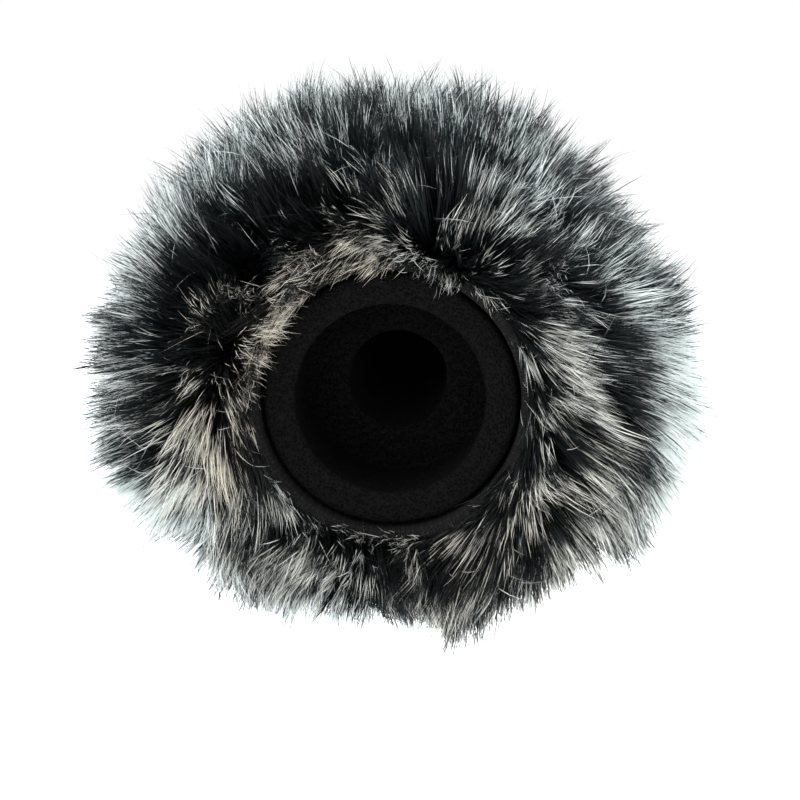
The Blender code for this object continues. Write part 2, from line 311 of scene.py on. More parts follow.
def knit_material(name, dark, light, radius, pitch, ribbed=False):
    """Weft knit round the axis: columns of V-shaped loops, with raised ribs on a rib knit, and painted
    shade in the grooves between them.
    """
    made = Nodes(name, 0.9, 0.2)
    around, along = made.wrapped(radius)
    wale = made.math("DIVIDE", around, pitch)
    fold = made.math("PINGPONG", wale, 0.5)
    course = made.math("ADD", made.math("DIVIDE", along, pitch * 0.8), made.times(fold, 1.1))
    loops = made.wave(course, 1.0)
    groove = made.step(fold, 0.0, 0.16)
    height = made.times(made.step(loops, -0.9, 0.7, 0.25, 1.0), groove)
    if ribbed:
        height = made.times(height, made.step(made.wave(wale, 2.0), -0.7, 0.3, 0.45, 1.0))
    fuzz = made.noise(made.place(), 1800.0, 2.0)
    # painted shade: low parts of the knit darker than the raised loops, unevenly with the fuzz
    made.colour(made.mix(made.times(height, made.math("ADD", fuzz, 0.4)), dark, light))
    made.rough(made.step(fuzz, 0.3, 0.7, 0.95, 0.8))
    made.bump(height, pitch * 0.25)
    return made.material


def woven_material(name, dark, light, radius, pitch):
    """Narrow woven tape: warp cords crossed by weft picks, alternating, with painted shade where they dip.
    """
    made = Nodes(name, 0.75, 0.3)
    around, along = made.wrapped(radius)
    weave = made.times(made.wave(around, pitch), made.wave(along, pitch))
    height = made.step(weave, -0.8, 0.8)
    # painted shade: the dips of the weave darker than the raised cords
    made.colour(made.mix(height, dark, light))
    made.rough(made.step(height, 0.0, 1.0, 0.85, 0.62))
    made.bump(height, pitch * 0.2)
    return made.material


def thread_material(name, colour):
    """Two-ply spun thread, seen as a fine twist, with painted shade in the groove between the plies."""
    made = Nodes(name, 0.6, 0.4)
    turn_length = 0.0005
    x, y, z = made.split(made.place())
    twist = made.wave(made.math("ADD", made.math("ADD", x, y), z), turn_length)
    ply = made.step(twist, -1.0, 1.0, 0.35, 1.0)
    # painted shade: the groove between the plies at 0.4 of the thread's colour
    made.colour(made.mix(ply, tuple(0.4 * part for part in colour), colour))
    made.rough(made.step(twist, -1.0, 1.0, 0.7, 0.5))
    made.bump(ply, 0.0001)
    return made.material


# the hair map: u picks one of these columns for a whole hair, and v runs from its root to its tip
TONES = 32  # dark to silver
WARMTHS = 8  # of each tone, bluish to cream


def pile_material():
    """Synthetic hair: a dark root, then frosted towards the tip, by the hair map, whose tones also carry
    painted light and painted shade.
    """
    made = Nodes("long_pile", 0.5, 0.35)
    hair_map = made.add("ShaderNodeUVMap", uv_map="OFBake").outputs[0]
    across, along, _ = made.split(hair_map)
    column = made.times(across, float(TONES))
    tone = made.math("DIVIDE", made.math("FLOOR", column), TONES - 1.0)
    warm = made.math("FRACT", column)
    start = made.step(tone, 0.25, 1.0, 0.88, 0.62)
    frost = made.step(along, start, made.math("ADD", start, 0.10))
    root = made.mix(warm, (0.0025, 0.0050, 0.0065), (0.0050, 0.0048, 0.0045))
    # the bluish middle and tip of cool hair are partly the hair's own colour and partly painted light, a
    # veil of light over the outer pile
    cast = made.mix(warm, (0.012, 0.030, 0.037), (0.022, 0.022, 0.019))
    # the darkest tones get a near-black body, deepening the painted shade of the parting as well as dark
    # locks
    shade = made.mix(made.step(tone, 0.0, 0.25), (0.0050, 0.0070, 0.0080), cast)
    tip = made.mix(warm, (0.76, 0.85, 0.87), (0.88, 0.81, 0.69))
    body = made.mix(made.step(along, 0.45, 1.0), root, shade)
    glow = made.times(frost, made.step(tone, 0.10, 0.70, 0.05, 1.0))
    colour = made.mix(glow, body, tip)
    made.colour(colour)
    made.let_through(colour, 0.35)
    return made.material


# ---- outlines and places round the axis
def radial(angle):
    """Straight out from the axis at an angle."""
    return np.stack([np.sin(angle), np.zeros_like(angle), np.cos(angle)], axis=-1)


def round_way(angle):
    """Along the turn round the axis at an angle."""
    return np.stack([np.cos(angle), np.zeros_like(angle), -np.sin(angle)], axis=-1)


def around_axis(radius, y, angle):
    """Places by their distance from the axis, y and angle."""
    return np.stack([radius * np.sin(angle), y, radius * np.cos(angle)], axis=-1)


def from_axis(places):
    return np.hypot(places[..., 0], places[..., 2])


def arc(middle, radius, start, end, steps):
    """Points on a circle in an outline; 0 degrees points outwards and 90 degrees along +Y."""
    turns = np.radians(np.linspace(start, end, steps + 1))
    return [(middle[0] + radius * math.cos(a), middle[1] + radius * math.sin(a)) for a in turns]


def dome_arc(radius, start, end):
    """Points on the dome, by their angles from +Y in degrees."""
    return arc((0.0, DOME_Y), radius, 90.0 - start, 90.0 - end, 24)


def step_lengths(outline):
    return np.hypot(*np.diff(np.array(outline, float), axis=0).T)


def travelled(outline):
    """How far along the outline each of its points is."""
    return np.concatenate([[0.0], np.cumsum(step_lengths(outline))])


def even(outline, spacing):
    """The same outline with points at an even spacing."""
    outline = np.array(outline, float)
    at = travelled(outline)
    count = max(2, round(at[-1] / spacing) + 1)
    wanted = np.linspace(0.0, at[-1], count)
    return np.stack([np.interp(wanted, at, outline[:, k]) for k in (0, 1)], axis=-1)


# ---- meshes
NO_TRIANGLES = np.zeros((0, 3), np.int32)


def fast_mesh(name, points, quads, triangles=NO_TRIANGLES):
    """A smooth mesh from arrays of points, four-sided faces and triangles."""
    mesh = bpy.data.meshes.new(name)
    corners = np.concatenate([quads.ravel(), triangles.ravel()]).astype(np.int32)
    starts = np.concatenate([
        np.arange(len(quads)) * 4,
        len(quads) * 4 + np.arange(len(triangles)) * 3,
    ]).astype(np.int32)
    mesh.vertices.add(len(points))
    mesh.vertices.foreach_set("co", points.astype(np.float32).ravel())
    mesh.loops.add(len(corners))
    mesh.loops.foreach_set("vertex_index", corners)
    mesh.polygons.add(len(starts))
    mesh.polygons.foreach_set("loop_start", starts)
    mesh.polygons.foreach_set("use_smooth", np.full(len(starts), True))
    mesh.update(calc_edges=True)
    return mesh


def grid_faces(rows, columns, wrap=False):
    """Faces of a grid of points stored row by row; wrap joins the last column to the first."""
    row = np.arange(rows - 1)
    column = np.arange(columns if wrap else columns - 1)
    first, second = np.meshgrid(row, column, indexing="ij")
    after = (second + 1) % columns
    faces = np.stack([
        first * columns + second,
        first * columns + after,
        (first + 1) * columns + after,
        (first + 1) * columns + second,
    ], axis=-1)
    return faces.reshape(-1, 4)


def weld(mesh, outwards):
    """Joins points that coincide, and turns the faces outwards if asked."""
    form = bmesh.new()
    form.from_mesh(mesh)
    bmesh.ops.remove_doubles(form, verts=form.verts, dist=0.000002)
    if outwards:
        bmesh.ops.recalc_face_normals(form, faces=form.faces)
    form.to_mesh(mesh)
    form.free()
    return mesh


def swept_points(outline, angles, relief):
    """An outline at each angle, as rows of points that relief may move."""
    radius = outline[:, 0][:, None]
    y = np.broadcast_to(outline[:, 1][:, None], (len(outline), len(angles)))
    points = around_axis(radius, y, angles)
    return points if relief is None else relief(points, angles)


def turned_mesh(name, outline, steps, relief=None):
    """A full turn of an outline."""
    points = swept_points(outline, np.arange(steps) * (math.tau / steps), relief)
    faces = grid_faces(len(outline), steps, wrap=True)
    return weld(fast_mesh(name, points.reshape(-1, 3), faces), outwards=True)


def patch_mesh(name, outline, first, last, columns, relief=None):
    """A sheet: an outline turned from one angle to another."""
    points = swept_points(outline, np.linspace(first, last, columns), relief)
    faces = grid_faces(len(outline), columns)
    return weld(fast_mesh(name, points.reshape(-1, 3), faces), outwards=False)


def add_piece(mesh, material, body, node):
    """A piece of its mesh's name that rides on a body and stands for a CAD node."""
    mesh.materials.append(material)
    piece = bpy.data.objects.new(mesh.name, mesh)
    bpy.context.scene.collection.objects.link(piece)
    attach(piece, body)
    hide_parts(node)
    return piece


def sew(mesh, material, thickness, node):
    """A piece of the cover's cloth, thickened outwards and inwards alike."""
    piece = add_piece(mesh, material, COVER, node)
    wall = piece.modifiers.new("thickness", "SOLIDIFY")
    wall.thickness = thickness
    wall.offset = 0.0
    wall.use_even_offset = True
    return piece


# ---- foam core
FOAM_EDGE = 0.0018  # radius of its rounded rear edges


def foam_relief(points, angles):
    """Shallow pits of the open cells, and a slow unevenness of the moulded block."""
    pit_depth = 0.00028
    pits_per_metre = 700.0
    unevenness = 0.00022
    swells_per_metre = 120.0
    flat = points.reshape(-1, 3)
    depth = np.array([
        pit_depth * noise.voronoi(Vector(point) * pits_per_metre)[0][0]
        + unevenness * noise.noise(Vector(point) * swells_per_metre)
        for point in flat
    ])
    radius = from_axis(flat)
    inward = -flat * np.array([1.0, 0.0, 1.0]) / np.maximum(radius, 1e-6)[:, None]
    in_socket = (radius < SOCKET_RADIUS + 0.0002) & (flat[:, 1] > FOAM_EDGE)
    on_rear = flat[:, 1] < FOAM_EDGE / 3
    into_foam = np.where(in_socket[:, None], -inward, inward)
    into_foam[on_rear] = (0.0, 1.0, 0.0)
    into_foam[radius < 1e-6] = 0.0
    return (flat + into_foam * np.abs(depth)[:, None]).reshape(points.shape)


def add_foam():
    """Moulded foam with its stepped socket, finer where it shows: its rear ring and the socket."""
    side = (FOAM_RADIUS, 0.006)
    rear = arc((FOAM_RADIUS - FOAM_EDGE, FOAM_EDGE), FOAM_EDGE, 0.0, -90.0, 6)
    mouth = arc((SOCKET_RADIUS + FOAM_EDGE, FOAM_EDGE), FOAM_EDGE, -90.0, -180.0, 6)
    shoulder = [(SOCKET_RADIUS, SOCKET_DEPTH), (BORE_RADIUS, SOCKET_DEPTH)]
    bore = [(BORE_RADIUS, BORE_END), (0.0, BORE_END)]
    outline = np.concatenate([
        even(dome_arc(FOAM_RADIUS, 0.0, 90.0) + [side], 0.0016)[:-1],
        even([side] + rear + mouth + shoulder, 0.00055),
        even(bore, 0.0016)[1:],
    ])
    mesh = turned_mesh("foam_windshield", outline, 300, foam_relief)
    piece = add_piece(mesh, foam_material(), CORE, "foam_core")


# ---- lining, tapes, cuff, elastic
def add_lining():
    """A tube and a round cap of thin knit, which meet under the nose seam."""
    middle = LINING_OUT - 0.0003
    thickness = 0.00045
    half_gap = 0.6  # between the two, in degrees of the dome
    knit = knit_material("lining_knit", (0.010, 0.010, 0.011), (0.040, 0.040, 0.043), middle, 0.0009)
    rear = (middle, LINING_LOW.y + 0.0002)
    line = even([rear] + dome_arc(middle, 90.0, NOSE_SEAM_DEGREES + half_gap), 0.0012)
    mesh = turned_mesh("lining_tube", line, 160)
    sleeve = sew(mesh, knit, thickness, "lining_sleeve")

    line = even(dome_arc(middle, NOSE_SEAM_DEGREES - half_gap, 0.0), 0.0012)
    mesh = turned_mesh("lining_round", line, 160)
    cap = sew(mesh, knit, thickness, "lining_cap")


def tape_relief(middle, seam, phase):
    """Keeps a tape on a seam one width where the dome closes in, with a faint ripple along it."""
    height = 0.00008
    radians_per_metre = 900.0

    def relief(points, angles):
        radius = from_axis(points)
        ripple = height * np.sin(points[..., 1] * radians_per_metre + phase)
        return around_axis(radius + ripple, points[..., 1], seam + (angles - seam) * (middle / radius))

    return relief


def add_tapes():
    """Binding over the seam allowances: four straight tapes and a ring round the nose seam."""
    middle = BACKING_IN - 0.0006
    width = 0.0086
    thickness = 0.0004
    half = width / 2 / middle
    half_degrees = math.degrees(half)
    weave = woven_material("tape_weave", (0.008, 0.008, 0.009), (0.034, 0.034, 0.036), middle, 0.0007)
    end = NOSE_SEAM_DEGREES + half_degrees + 1.2  # a little short of the ring
    line = even([(middle, RIM_STEP + 0.0006)] + dome_arc(middle, 90.0, end), 0.0012)
    for number, seam in enumerate(SEAMS, start=1):
        relief = tape_relief(middle, seam, number)
        mesh = patch_mesh(f"binding_{number}", line, seam - half, seam + half, 9, relief)
        tape = sew(mesh, weave, thickness, f"seam_tape_{number}")

    start = NOSE_SEAM_DEGREES - half_degrees
    line = even(dome_arc(middle, start, start + 2 * half_degrees), 0.001)
    mesh = turned_mesh("binding_nose", line, 160)
    ring = sew(mesh, weave, thickness, "nose_seam_tape")


def cuff_outline():
    """The cuff's strip folded double, as the middle line of its thickness."""
    leaf = 0.0008
    inner = CUFF_IN + leaf / 2
    outer = CUFF_OUT - leaf / 2
    fold_radius = (outer - inner) / 2
    fold = ((inner + outer) / 2, CUFF_LOW.y + leaf / 2 + fold_radius)
    front = CUFF_HIGH.y - 0.0001
    return [(outer, front)] + arc(fold, fold_radius, 0.0, -180.0, 16) + [(inner, front)]


def cuff_relief(points, angles):
    """Gathers and ribs on the outer leaf, and a wavy folded edge; the sewn front end stays flat."""
    gathers = 34
    ribs = 170
    gather_depth = 0.0002
    rib_height = 0.00006
    edge_wave = 0.00025
    radius = from_axis(points)
    free = np.clip((CUFF_HIGH.y - points[..., 1]) / 0.006, 0.0, 1.0)
    outer = np.clip((radius - CUFF_IN) / (CUFF_OUT - CUFF_IN), 0.0, 1.0)
    wave = np.sin(angles * gathers + 1.3 * np.sin(angles * 5.0))
    radius = radius + outer * (free * gather_depth * (wave - 1.0) + rib_height * np.sin(angles * ribs))
    forward = free * edge_wave * (1.0 + wave) * (1.0 - np.abs(2 * outer - 1.0))
    return around_axis(radius, points[..., 1] + forward, angles)


def add_cuff():
    """Rib knit pulled into small gathers by the elastic in its tunnel."""
    middle = (CUFF_IN + CUFF_OUT) / 2
    line = even(cuff_outline(), 0.0005)
    dark = (0.0020, 0.0020, 0.0022)
    light = (0.014, 0.014, 0.015)
    knit = knit_material("cuff_rib_knit", dark, light, middle, 0.0011, ribbed=True)
    cuff = sew(turned_mesh("knitted_cuff", line, 680, cuff_relief), knit, 0.0007, "cuff")


def add_elastic():
    """A band whose ends meet at the bottom. Its rubber cords show as ridges along it."""
    low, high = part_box("cuff_elastic")
    middle = (ELASTIC_IN + high.x) / 2
    cord_pitch = 0.0011
    ridge = 0.00006
    weave = woven_material("elastic_weave", (0.05, 0.05, 0.052), (0.16, 0.16, 0.165), middle, 0.0009)

    def cords(points, angles):
        y = points[..., 1]
        return around_axis(middle + ridge * np.cos((y - low.y) * (math.tau / cord_pitch)), y, angles)

    line = even([(middle, low.y + 0.0001), (middle, high.y - 0.0001)], 0.0004)
    butt = math.pi - 0.0006 / middle
    mesh = patch_mesh("elastic_band", line, -butt, butt, 260, cords)
    band = sew(mesh, weave, 0.0007, "cuff_elastic")


# ---- stitches
STITCH = 0.0026  # from one needle hole to the next
THREAD_RADIUS = 0.0002


def square_to(ahead):
    """For each unit direction, two more that are square to it and to each other."""
    helper = np.where(np.abs(ahead[..., 1:2]) < 0.8, [0.0, 1.0, 0.0], [1.0, 0.0, 0.0])
    side = np.cross(ahead, helper)
    side /= np.linalg.norm(side, axis=-1, keepdims=True)
    return side, np.cross(ahead, side)


def tube_arrays(path, radius, sides=6):
    """Points and faces of a closed thread along a path, full until close to its rounded ends."""
    path = np.array(path, float)
    ahead = np.gradient(path, axis=0)
    ahead /= np.maximum(np.linalg.norm(ahead, axis=1, keepdims=True), 1e-9)
    side, other = square_to(ahead)
    turns = (np.arange(sides) * (math.tau / sides))[:, None]
    ring = side[:, None] * np.cos(turns) + other[:, None] * np.sin(turns)
    share = np.linspace(-1.0, 1.0, len(path))
    swell = np.sqrt(np.maximum(0.0, 1.0 - share**6)) * radius
    points = (path[:, None] + ring * swell[:, None, None]).reshape(-1, 3)
    return points, grid_faces(len(path), sides, wrap=True)


def stitched(name, node, stitches, radius, material):
    """One piece of many stitches, each a short thread that dives at both ends."""
    tubes = [tube_arrays(path, radius) for path in stitches]
    points = np.concatenate([some for some, _ in tubes])
    faces = np.concatenate([quads + number * len(some) for number, (some, quads) in enumerate(tubes)])
    mesh = weld(fast_mesh(name, points, faces), outwards=True)
    add_piece(mesh, material, COVER, node)


def stitch(start, end, out, rise):
    """A stitch from start to end that stands proud along out in its middle."""
    start, end, out = (np.array(item, float) for item in (start, end, out))
    shares = np.linspace(0.0, 1.0, 9)
    lift = np.sin(shares * math.pi) ** 0.6 * rise
    return [start + (end - start) * share + out * up for share, up in zip(shares, lift)]


def seam_row(line, seam):
    """Stitches along an outline on a gore seam, each leaning a little across it."""
    out = radial(seam)
    needle_gap = np.array([0.0, 0.0002, 0.0])
    places = even(line, STITCH)
    row = []
    for index, (here, there) in enumerate(zip(places[:-1], places[1:])):
        lean = round_way(seam) * 0.00018 * (-1) ** index
        start = around_axis(*here, seam) + needle_gap - lean
        end = around_axis(*there, seam) - needle_gap + lean
        row.append(stitch(start, end, out, rise=0.00022))
    return row


def ring_row(radius, y):
    """Stitches round the axis, each leaning a little along it."""
    count = round(math.tau * radius / STITCH)
    needle_gap = 0.06  # of a stitch
    row = []
    for index in range(count):
        first = math.tau * (index + needle_gap) / count
        last = math.tau * (index + (1.0 - needle_gap)) / count
        lean = 0.00012 * (-1) ** index
        start = around_axis(radius, y - lean, first)
        end = around_axis(radius, y + lean, last)
        row.append(stitch(start, end, radial((first + last) / 2), rise=0.00018))
    return row


def bartack_row():
    """A dense zigzag that joins the elastic's ends, across the bottom of the ring."""
    low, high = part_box("elastic_bartack")
    half_width = 0.0026
    elastic = 0.0009
    clear = 0.0006
    depth = ELASTIC_IN + elastic + clear
    ends_depth = math.sqrt(depth**2 - half_width**2)
    row = []
    for y in np.linspace(low.y + 0.0003, high.y - 0.0003, 13):
        start = (-half_width, y - 0.0001, -ends_depth)
        end = (half_width, y + 0.0001, -ends_depth)
        row.append(stitch(start, end, (0.0, 0.0, -1.0), rise=depth - ends_depth))
    return row


def add_threads():
    thread = thread_material("sewing_thread", (0.030, 0.030, 0.032))
    path = BACKING_IN + 0.0004
    short_by = 2.4  # of the nose seam, in degrees of the dome
    line = [(path, RIM_STEP + 0.0007)] + dome_arc(path, 90.0, NOSE_SEAM_DEGREES + short_by)
    for number, seam in enumerate(SEAMS, start=1):
        name = f"gore_stitches_{number}"
        stitched(name, f"seam_thread_{number}", seam_row(line, seam), THREAD_RADIUS, thread)
    rings = {
        "nose_stitches": ("nose_seam_thread", 0.0004),
        "tunnel_stitches": ("tunnel_stitch", 0.00045),
        "rim_stitches": ("rim_stitch", 0.00045),
    }
    for name, (node, inset) in rings.items():
        row = ring_row(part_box(node)[1].x - inset, centre(node).y)
        stitched(name, node, row, THREAD_RADIUS, thread)
    stitched("bartack_stitches", "elastic_bartack", bartack_row(), 0.00019, thread)


# ---- fur: outlines
def backing_outline():
    """Outside of the knitted backing from the rim to the nose."""
    rim = RIM_IN + BACKING_THICK
    body = BACKING_IN + BACKING_THICK
    line = [(rim, RIM_REAR), (rim, RIM_STEP - 0.002), (body, RIM_STEP + 0.002)]
    return even(line + dome_arc(body, 90.0, 0.0), 0.0004)


def quarter_oval(middle, reach, fullness, first, last):
    """A quarter of a superellipse about middle, from first to last degrees. It is widest at 0."""
    share = np.sin(np.radians(np.linspace(first, last, 60)))
    bulge = (1.0 - np.abs(share) ** fullness) ** (1.0 / fullness)
    return np.stack([middle[0] + reach[0] * bulge, middle[1] + reach[1] * share], axis=-1)


def tip_outline():
    """Where full-length tips reach: over the rim's edge, over the rear crest and on to the nose."""
    fullness = 2.3
    crest = (CREST_RADIUS, PILE_WIDEST_Y)
    inner_reach = (TUFT_RADIUS - CREST_RADIUS, PILE_REAR - TUFT_Y)
    outer_reach = (PILE_WIDE - CREST_RADIUS, PILE_REAR - PILE_WIDEST_Y)
    front_reach = (PILE_WIDE, PILE_NOSE - PILE_WIDEST_Y)
    inner = quarter_oval((CREST_RADIUS, TUFT_Y), inner_reach, 2.0, 0.0, 90.0)
    outer = quarter_oval(crest, outer_reach, fullness, 90.0, 0.0)
    front = quarter_oval((0.0, PILE_WIDEST_Y), front_reach, fullness, 0.0, 90.0)
    return even(np.concatenate([inner, outer[1:], front[1:]]), 0.0008)


BACKING = backing_outline()
BACKING_AT = travelled(BACKING)
TIPS = tip_outline()
TIPS_AT = travelled(TIPS)
CREST_AT = float(TIPS_AT[np.argmin(TIPS[:, 1])])


def tips_at_y(y):
    """How far along the tips' outline it passes a y in front of the crest."""
    beyond = TIPS_AT >= CREST_AT
    return float(TIPS_AT[beyond][np.argmin(np.abs(TIPS[beyond][:, 1] - y))])


# how far along the backing a hair is rooted, for how far along the outline its tip would be
REACH_TIPS = [0.0, CREST_AT, tips_at_y(0.030), tips_at_y(DOME_Y), TIPS_AT[-1]]
REACH_ROOTS = [0.0, 0.009, 0.030, DOME_Y - RIM_REAR, BACKING_AT[-1]]


def on_outline(outline, travel, at, angle):
    radius = np.interp(at, travel, outline[:, 0])
    return around_axis(radius, np.interp(at, travel, outline[:, 1]), angle)


def flatness(places):
    """Height of the pile, above or below the axis, against its width."""
    return np.where(places[:, 2] > 0, PILE_TOP, PILE_BOTTOM) / PILE_WIDE


def tip_places(at, angle):
    """Places on the tips' outline, lowered above and below the axis as the CAD model's pile is."""
    places = on_outline(TIPS, TIPS_AT, at, angle)
    share = np.clip((from_axis(places) - RIM_IN) / (PILE_WIDE - RIM_IN), 0.0, None)
    places[:, 2] *= 1.0 + (flatness(places) - 1.0) * share
    return places


def found_on_outline(places):
    """How far along the tips' outline each place is, and its angle."""
    across = places[:, 0]
    up = places[:, 2] / flatness(places)
    beside = TIPS[None, :, 0] - np.hypot(across, up)[:, None]
    ahead = TIPS[None, :, 1] - places[:, 1][:, None]
    return TIPS_AT[np.argmin(beside**2 + ahead**2, axis=1)], np.arctan2(across, up)


# ---- fur: how areas and directions blend
def smooth_field(seed, size):
    """A smooth random field, mostly from -1.5 to 1.5, with features of about one size."""
    waves = 12
    draw = np.random.default_rng(seed)
    ways = draw.normal(size=(waves, 3))
    ways /= np.linalg.norm(ways, axis=1, keepdims=True)
    turns = ways * (math.tau / size) * draw.uniform(0.6, 1.3, (waves, 1))
    phases = draw.uniform(0.0, math.tau, waves)
    return lambda places: np.sin(places @ turns.T + phases).sum(axis=1) / math.sqrt(waves / 2)


# for the directions of the hair
SWIRL = smooth_field(11, 0.038)
SWEEP = smooth_field(12, 0.034)
TWIST = smooth_field(13, 0.013)
LIFT = smooth_field(14, 0.014)
# for its brightness and its length
PATCHES = smooth_field(21, 0.021)
BANDS = smooth_field(22, 0.055)
LOCKS = smooth_field(24, 0.012)
LOFT = smooth_field(23, 0.045)


def bump_at(value, middle, width):
    """1 at the middle and nearly 0 beyond the width."""
    return np.exp(-((value - middle) / width) ** 2)


def ramp(value, low, high):
    """A smooth step from 0 at low to 1 at high."""
    share = np.clip((value - low) / (high - low), 0.0, 1.0)
    return share * share * (3.0 - 2.0 * share)


def turn_from(angle, reference):
    """Signed angle from a reference, from -pi to pi."""
    return (angle - reference + math.pi) % math.tau - math.pi


def towards(angle, degrees, width):
    """1 in a direction round the axis and nearly 0 beyond a width in radians."""
    return bump_at(turn_from(angle, math.radians(degrees)), 0.0, width)


def upper_left(angle):
    """1 in the quarter where the pile parts along the crest and curls in over the opening."""
    after_start = ramp(turn_from(angle, math.radians(-108.0)), 0.0, 0.25)
    before_end = ramp(-turn_from(angle, math.radians(12.0)), 0.0, 0.25)
    return after_start * before_end


# ---- fur: lie of the hair
def lie(at, angle):
    """How far the tips are swept along the outline and round it, from straight above their roots."""
    places = tip_places(at, angle)
    quarter = upper_left(angle)
    side = np.sin(angle)
    beyond_crest = ramp(at, CREST_AT + 0.010, CREST_AT + 0.04)
    hanging = ramp(-np.cos(angle), -0.35, 0.35) * (1.0 - 0.5 * beyond_crest)
    underneath = ramp(-np.cos(angle), 0.70, 0.98)

    # forward, less so near the nose, and at the rim's very edge in over the opening
    along = 0.0090 * (1.0 - ramp(at, tips_at_y(0.06), TIPS_AT[-1]))
    along += (0.007 * np.exp(-at / 0.012) - 0.020 * np.exp(-at / 0.004)) * (1.0 - quarter)
    # at the upper left it parts on the crest: in over the opening on one side, forward on the other
    parting = CREST_AT - 0.0010 + 0.0030 * SWIRL(places)
    inward = quarter * (1.0 - ramp(at, parting - 0.0015, parting + 0.0015))
    along -= inward * (0.024 - 0.012 * ramp(at, 0.0, parting))
    along += quarter * 0.004 * bump_at(at, parting + 0.004, 0.008)
    # unevenly, less far where it hangs, and less far on top than below
    along += 0.0048 * SWEEP(places) + 0.0030 * LIFT(places)
    along -= 0.0050 * np.abs(side) * hanging + 0.0020 * np.cos(angle)

    # round the axis: unevenly, away from the seams, and down where it hangs
    around = 0.0056 * SWIRL(places) + 0.0031 * TWIST(places) - 0.0028 * inward
    for seam in SEAMS:
        apart = turn_from(angle, seam)
        around += 0.0032 * np.sign(apart) * np.exp(-np.abs(apart) / 0.13)
    around += 0.0135 * side * hanging * (1.0 - 0.5 * underneath)
    # and a little clockwise, seen from behind, on the outside at the upper left and at the right
    around += 0.0060 * towards(angle, -48.0, 0.45) * ramp(at, CREST_AT + 0.004, CREST_AT + 0.024)
    around += 0.0065 * towards(angle, 82.0, 0.55)
    return along, around


def strands(at, angle):
    """A full-length hair rises and then lies over: its upright tip, root, middle and lying tip."""
    home = tip_places(at, angle)
    along, around = lie(at, angle)
    upright = 0.76  # of the way to the upright tip, it begins to lie over
    roots = on_outline(BACKING, BACKING_AT, np.interp(at, REACH_TIPS, REACH_ROOTS), angle)
    middles = roots + (home - roots) * upright
    swept = at + along
    tips = tip_places(np.clip(swept, 0.0, TIPS_AT[-1]), angle)
    tips[:, 1] += 0.45 * np.minimum(swept, 0.0)  # past the rim's edge it stands out of the opening
    sideways = round_way(angle) * around[:, None]
    tips += sideways
    middles += 0.25 * sideways
    return home, roots, middles, tips


def fullness(places, angle):
    """Length of the pile against the outline: uneven, and less at seams, underneath and upper right."""
    seams = sum(np.exp(-np.abs(turn_from(angle, seam)) / 0.10) for seam in SEAMS)
    upper_right = towards(angle, 45.0, 0.50)
    under = ramp(-np.cos(angle), 0.45, 0.75)
    return 1.0 + 0.030 * LOFT(places) - 0.06 * seams - 0.17 * upper_right - 0.07 * under


def hold(at):
    """How firmly hairs gather into locks: most over the crest, least on the outside."""
    return 1.0 - 0.62 * ramp(at, CREST_AT + 0.010, CREST_AT + 0.045)


# ---- fur: light and dark tips, with painted light and painted shade
def tip_tone_and_painted_light(places):
    """Broad areas of light and dark tips, mostly from 0 to 1, by place and direction: random patches and
    bands, and painted light and painted shade where light falls on the pile.
    """
    at, angle = found_on_outline(places)
    outside = ramp(at, CREST_AT + 0.008, CREST_AT + 0.036)
    rim = np.exp(-at / 0.010)
    off_rim = ramp(at, 0.010, 0.022)
    rear = 1.0 - 0.8 * ramp(at, tips_at_y(0.048), tips_at_y(0.085))
    rim_top = towards(angle, -15.0, 1.15)

    # random patches and bands, and painted light: tips lighter all over the outside of the pile
    tone = 0.28 + 0.25 * PATCHES(places) + 0.10 * BANDS(places) + 0.24 * outside
    # painted light: tips lighter low on both sides, and from the top to the right inside the crest
    tone += 0.88 * towards(angle, -121.0, 0.45) * off_rim * rear
    tone += 0.22 * towards(angle, 124.0, 0.60) * off_rim * rear
    tone += 0.14 * towards(angle, 35.0, 0.65) * (1.0 - outside)
    # painted light and painted shade on the outside: lighter at the right, darker at the top, the upper
    # right and the left
    tone += outside * rear * (0.55 * towards(angle, 92.0, 0.5) - 0.36 * towards(angle, 2.0, 0.5))
    tone -= outside * rear * (0.48 * towards(angle, 54.0, 0.36) + 0.20 * towards(angle, -84.0, 0.45))
    # painted shade by the crest, dark in the parting at the upper left and at the right; painted light at
    # the top
    tone -= 1.05 * towards(angle, -32.0, 0.75) * bump_at(at, CREST_AT + 0.005, 0.013)
    tone -= 0.20 * towards(angle, 85.0, 0.45) * bump_at(at, CREST_AT + 0.008, 0.016)
    tone += 0.22 * towards(angle, 12.0, 0.40) * bump_at(at, CREST_AT - 0.004, 0.008)
    # round the opening: light locks on top, lifted with painted light against the shade under the crest,
    # and darker elsewhere
    tone += rim * (rim_top * (0.72 + 0.70 * LOCKS(places)) - 0.32 * (1.0 - rim_top))
    return tone


def warmth(at, angle):
    """Cream towards the opening, most of all at the upper left, and bluish silver elsewhere."""
    near = 1.0 - ramp(at, CREST_AT * 0.4, CREST_AT * 1.5)
    return near * (0.35 + 0.6 * upper_left(angle)) + 0.3 * towards(angle, 135.0, 0.6) + 0.10


# ---- fur: tufts, locks and hairs
PLASTIC = 1.324717957244746  # the plastic number: steps of its inverse powers fill a square evenly


def scatter(count, seed):
    """Even but irregular places over the tips' outline: how far along it, and the angle."""
    draw = np.random.default_rng(seed)
    jitter = 0.3 / math.sqrt(count)
    index = np.arange(count) + 0.5
    first = (index * (1 / PLASTIC) + draw.normal(0.0, jitter, count)) % 1.0
    second = (index * (1 / PLASTIC**2) + draw.normal(0.0, jitter, count)) % 1.0
    density = np.interp(TIPS_AT, [0.0, CREST_AT, tips_at_y(0.05), TIPS_AT[-1]], [2.0, 1.5, 1.0, 0.8])
    weight = TIPS[:, 0] * density
    total = np.concatenate([[0.0], np.cumsum((weight[1:] + weight[:-1]) / 2 * np.diff(TIPS_AT))])
    return np.interp(first * total[-1], total, TIPS_AT), second * math.tau


def nearest(places, centres):
    """Index of the centre nearest each place."""
    tree = kdtree.KDTree(len(centres))
    for index, spot in enumerate(centres):
        tree.insert(spot, index)
    tree.balance()
    return np.array([tree.find(place)[1] for place in places])


